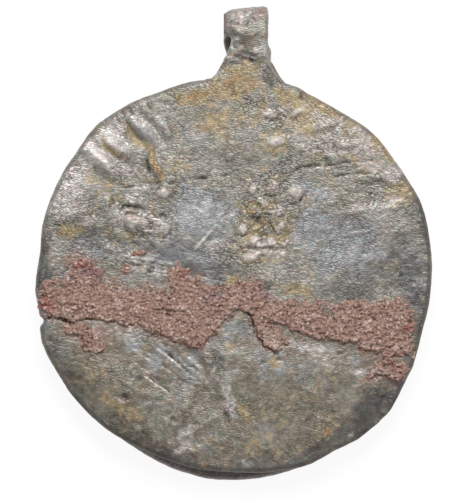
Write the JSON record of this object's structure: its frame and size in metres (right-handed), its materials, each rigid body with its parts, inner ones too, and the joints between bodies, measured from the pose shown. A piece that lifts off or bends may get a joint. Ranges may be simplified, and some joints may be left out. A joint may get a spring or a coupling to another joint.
{
  "type": "lead seal",
  "caption": "Flat lead seal: round hammered discs joined by a strip folded over an open eye, closed by a clenched rivet, with rough mineral crust across the face.",
  "frame": {"origin": "the rear disc's centre on the rear face, in the plane that the seal lies on", "axes": "+Z out of the front face, +Y from the disc's centre to the folded strip, +X to the right as the front is seen"},
  "size_m": [0.0396, 0.0473, 0.0043],
  "materials": {
    "lead_rear": "matte",
    "lead_front": "matte",
    "lead_strip": "satin",
    "lead_rivet": "matte",
    "crust": "matte"
  },
  "bodies": {
    "root": {"rear_disc": "lead_rear", "front_disc": "lead_front", "connecting_strip": "lead_strip", "rivet": "lead_rivet", "crust_band": "crust", "crust_tongue": "crust", "crust_patch": "crust", "crust_islet_left": "crust", "crust_islet_right": "crust"}
  },
  "joints": []
}
